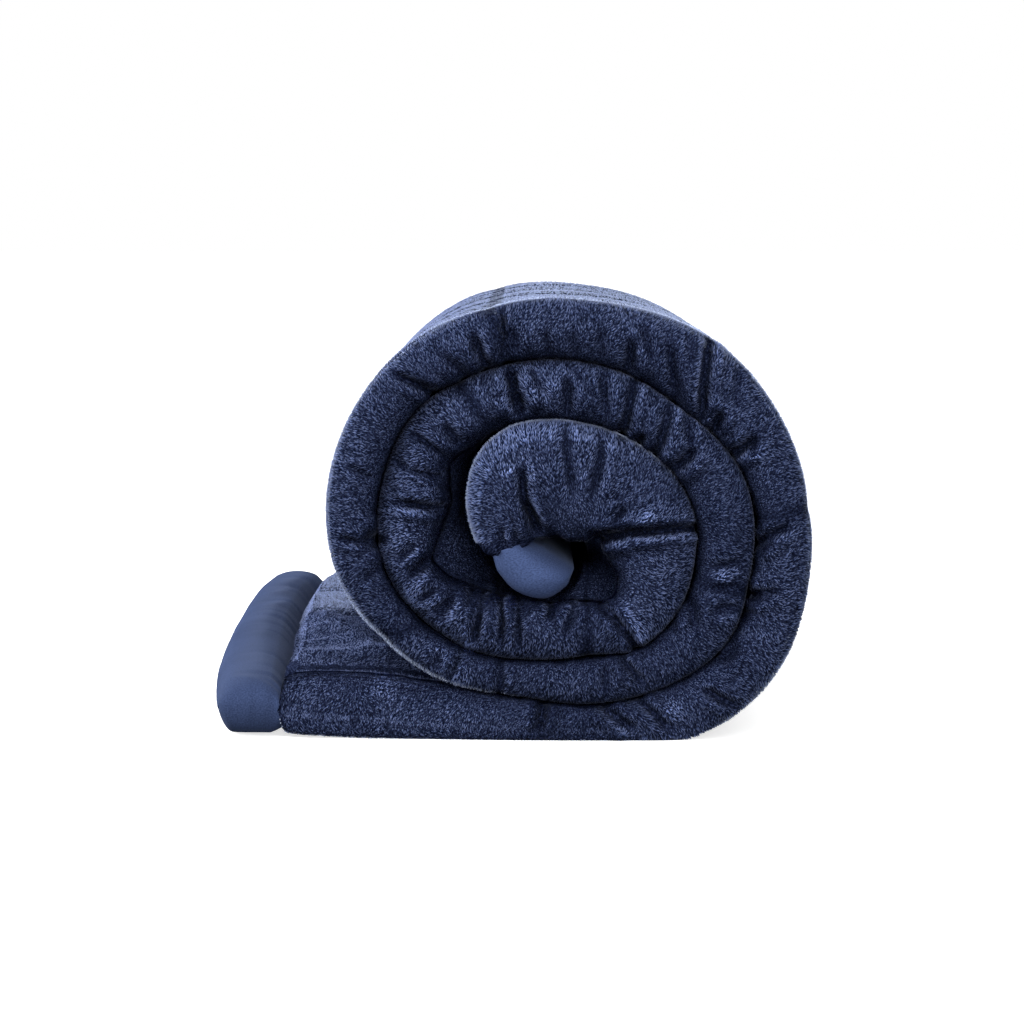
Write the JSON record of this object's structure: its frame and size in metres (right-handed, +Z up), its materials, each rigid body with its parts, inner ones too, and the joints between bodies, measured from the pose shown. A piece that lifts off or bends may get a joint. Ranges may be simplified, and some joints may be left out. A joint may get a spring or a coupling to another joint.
{
  "type": "down alternative blanket",
  "caption": "Filled plush blanket with box quilting and smooth end bindings, folded in half and rolled up on its side with one end left out flat.",
  "frame": {"origin": "under the middle of the whole rolled blanket, on the surface it rests on", "axes": "+X across the roll away from the end left out flat, +Y along the roll away from the folded front, +Z up"},
  "size_m": [0.4862, 1.161, 0.3389],
  "materials": {
    "plush": "short soft pile, matt with a pale sheen at grazing angles",
    "binding": "smooth woven, low sheen"
  },
  "bodies": {
    "root": {"plush_body": "plush", "outer_binding": "binding", "inner_binding": "binding"}
  },
  "joints": []
}
